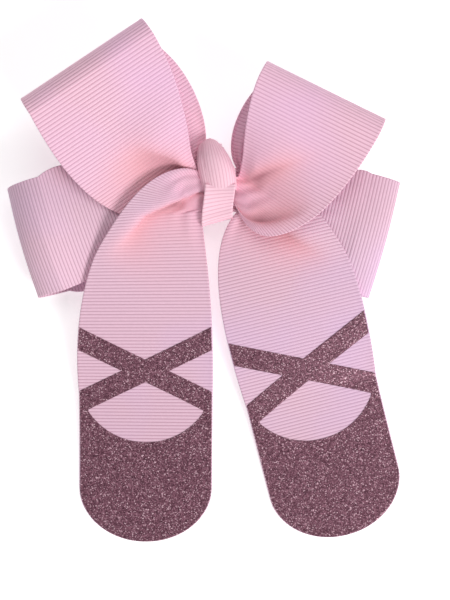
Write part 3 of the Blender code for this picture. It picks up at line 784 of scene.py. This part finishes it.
def glitter(name):
    """Glitter film: tight flakes that each face their own way, bright ones few and far between."""
    n = Nodes(name)
    coordinates = n.add("TexCoord")
    flakes = n.add("TexVoronoi", {"Scale": 2600.0}, feature="F1")
    n.join(coordinates.outputs["Object"], flakes.inputs["Vector"])
    pick = n.add("SeparateColor")
    n.join(flakes.outputs["Color"], pick.inputs[0])
    colour = n.ramp(pick.outputs[0], [(0.0, (0.085, 0.026, 0.045)), (0.5, (0.19, 0.07, 0.105)),
                                      (0.88, (0.36, 0.16, 0.22)), (1.0, (0.85, 0.58, 0.66))])
    n.join(colour, n.shader.inputs["Base Color"])
    metal = n.ramp(pick.outputs[1], [(0.0, (0.1,) * 3), (0.6, (0.3,) * 3), (1.0, (0.85,) * 3)])
    n.join(metal, n.shader.inputs["Metallic"])
    tilt = n.add("Bump", {"Strength": 0.9, "Distance": 0.00012})
    n.join(pick.outputs[2], tilt.inputs["Height"])
    n.join(tilt.outputs[0], n.shader.inputs["Normal"])
    n.shader.inputs["Roughness"].default_value = 0.38
    return n.material


def metal(name, colour, roughness, grain):
    """Bright plated or drawn steel with faint scratches."""
    n = Nodes(name)
    coordinates = n.add("TexCoord")
    stretch = n.add("Mapping")
    stretch.inputs["Scale"].default_value = (400, 6000, 6000)
    n.join(coordinates.outputs["Object"], stretch.inputs["Vector"])
    lines = n.add("TexNoise", {"Scale": 1.0, "Detail": 4.0})
    n.join(stretch.outputs[0], lines.inputs["Vector"])
    smear = n.add("TexNoise", {"Scale": 160.0, "Detail": 3.0})
    n.join(coordinates.outputs["Object"], smear.inputs["Vector"])
    low = tuple(0.85 * c for c in colour)
    n.join(n.ramp(smear.outputs["Fac"], [(0.3, low), (0.7, colour)]), n.shader.inputs["Base Color"])
    rough = n.maths("MULTIPLY_ADD", lines.outputs["Fac"], grain)
    rough.node.inputs[2].default_value = roughness
    n.join(rough, n.shader.inputs["Roughness"])
    bump = n.add("Bump", {"Strength": 0.1, "Distance": 0.00002})
    n.join(lines.outputs["Fac"], bump.inputs["Height"])
    n.join(bump.outputs[0], n.shader.inputs["Normal"])
    n.shader.inputs["Metallic"].default_value = 1.0
    return n.material


def milky(name, colour, roughness, scatter):
    """Glue or thread: pale, slightly uneven, letting light into its surface."""
    n = Nodes(name)
    coordinates = n.add("TexCoord")
    cloud = n.add("TexNoise", {"Scale": 500.0, "Detail": 3.0})
    n.join(coordinates.outputs["Object"], cloud.inputs["Vector"])
    low = tuple(0.88 * c for c in colour)
    n.join(n.ramp(cloud.outputs["Fac"], [(0.3, low), (0.7, colour)]), n.shader.inputs["Base Color"])
    bump = n.add("Bump", {"Strength": 0.3, "Distance": 0.00004})
    n.join(cloud.outputs["Fac"], bump.inputs["Height"])
    n.join(bump.outputs[0], n.shader.inputs["Normal"])
    n.shader.inputs["Roughness"].default_value = roughness
    n.shader.inputs["Subsurface Weight"].default_value = scatter
    n.shader.inputs["Subsurface Radius"].default_value = (0.001, 0.0008, 0.0006)
    return n.material


def wear(made, material):
    """Gives a piece its one material."""
    made.data.materials.clear()
    made.data.materials.append(material)


def place(made, material, slot, nodes, body="bow"):
    """Gives a piece its material, the CAD nodes that it replaces and the body that it rides on. slot is not
    used.
    """
    wear(made, material)
    if nodes:
        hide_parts(*nodes)
    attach(made, body)


# ---------------------------------------------------------------- floor, lights, camera

FLOOR_HALF, FLOOR_GAP, FLOOR_GLOW = 3.0, 0.0002, 0.42
WORLD_LIGHT = 0.38
CAMERA_PLACE, CAMERA_LENS = (2.15, -49.9, 401.0), 55.8


def floor():
    """A pale floor just under the object."""
    mesh = bpy.data.meshes.new("floor")
    low = CAD_BOX[0].z - FLOOR_GAP
    corners = [(x * FLOOR_HALF, y * FLOOR_HALF, low) for x, y in ((-1, -1), (1, -1), (1, 1), (-1, 1))]
    mesh.from_pydata(corners, [], [(0, 1, 2, 3)])
    made = bpy.data.objects.new("floor", mesh)
    bpy.context.collection.objects.link(made)
    n = Nodes("pale_floor")
    n.shader.inputs["Base Color"].default_value = (0.95, 0.95, 0.95, 1)
    n.shader.inputs["Emission Color"].default_value = (1, 1, 1, 1)
    n.shader.inputs["Emission Strength"].default_value = FLOOR_GLOW
    n.shader.inputs["Roughness"].default_value = 0.8
    mesh.materials.append(n.material)


def light(name, place_at, size, power, colour):
    """A soft square light, aimed at the object."""
    lamp = bpy.data.lights.new(name, "AREA")
    lamp.size = size
    lamp.energy = power
    lamp.color = colour
    made = bpy.data.objects.new(name, lamp)
    made.location = place_at
    made.rotation_euler = (-Vector(place_at)).to_track_quat("-Z", "Y").to_euler()
    bpy.context.collection.objects.link(made)


def lights():
    light("key", (1.05, -1.0, 1.0), 0.7, 20.0, (1.0, 0.98, 0.98))
    light("fill", (0.2, 0.5, 1.1), 0.8, 3.8, (1.0, 0.98, 1.0))
    world = bpy.data.worlds.new("studio")
    bpy.context.scene.world = world
    world.use_nodes = True
    world.node_tree.nodes["Background"].inputs["Color"].default_value = (1, 1, 1, 1)
    world.node_tree.nodes["Background"].inputs["Strength"].default_value = WORLD_LIGHT


def camera():
    """Straight above the bow, looking down, with the loops at the top of the picture."""
    data = bpy.data.cameras.new("camera")
    data.sensor_width = 36.0
    data.lens = CAMERA_LENS
    made = bpy.data.objects.new("camera", data)
    made.location = Vector(KNOT) + Vector(CAMERA_PLACE) * MM
    bpy.context.collection.objects.link(made)
    bpy.context.scene.camera = made


# ---------------------------------------------------------------- assembly


def main():
    scene = bpy.context.scene
    scene.view_settings.view_transform = "Standard"
    pink = grosgrain("pink_grosgrain", (0.94, 0.60, 0.73), (0.55, 0.26, 0.36), (0.88, 0.55, 0.88))
    # A darker, greyer copy of the same pink, as painted shade on the tails and the lower loops.
    painted_shade_pink = grosgrain("painted_shade_grosgrain", (0.82, 0.55, 0.67), (0.48, 0.25, 0.34), (0.72, 0.52, 0.84))
    knot_pink = grosgrain("knot_grosgrain", (1.0, 0.65, 0.73), (0.68, 0.32, 0.39), (0.96, 0.60, 0.78))
    steel = metal("nickel_plate", (0.76, 0.75, 0.72), 0.16, 0.2)
    wire = metal("spring_wire", (0.58, 0.58, 0.57), 0.26, 0.25)
    sparkle = glitter("glitter_film")
    for name, shape in LOOPS.items():
        made, length = ribbon_loop(name, shape)
        # The lower loops take the copy with painted shade.
        place(made, painted_shade_pink if name.startswith("lower") else pink, "pink_ribbon", [name])
    for name, shape in TAILS.items():
        made, surface = ribbon_tail(name, shape)
        # The tails take the copy with painted shade.
        place(made, painted_shade_pink, "pink_ribbon", [name])
        vinyl = name.replace("tail", "shoe_vinyl")
        place(shoe_vinyl(vinyl + "_film", surface), sparkle, "glitter_vinyl", [vinyl])
    place(knot_band(), knot_pink, "knot_ribbon", ["knot_ribbon"])
    place(knot_loop("knot_loop", (0.6, 0.0, L5 + 2.4), -96, 96), knot_pink, "knot_ribbon", [])
    place(knot_loop("knot_fold", (-0.8, -0.8, L5 + 1.3), -98, -5), knot_pink, "knot_ribbon", [])
    cotton = milky("thread", (0.86, 0.80, 0.80), 0.75, 0.1)
    glue = milky("glue", (0.85, 0.84, 0.79), 0.25, 0.4)
    place(binding_thread(), cotton, "white_thread", ["binding_thread"])
    place(glue_blob(), glue, "hot_glue", ["hot_glue"])
    place(lining_ribbon(), pink, "pink_ribbon", ["clip_lining"])
    coil, leg = spring_pieces()
    place(coil, wire, "spring_steel", ["clip_spring"])
    place(leg, wire, "spring_steel", [], body="jaw")
    for node in ("clip_fixed_arm", "clip_jaw", "clip_pin"):
        wear(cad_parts[node], steel)
    floor()
    lights()
    camera()


main()
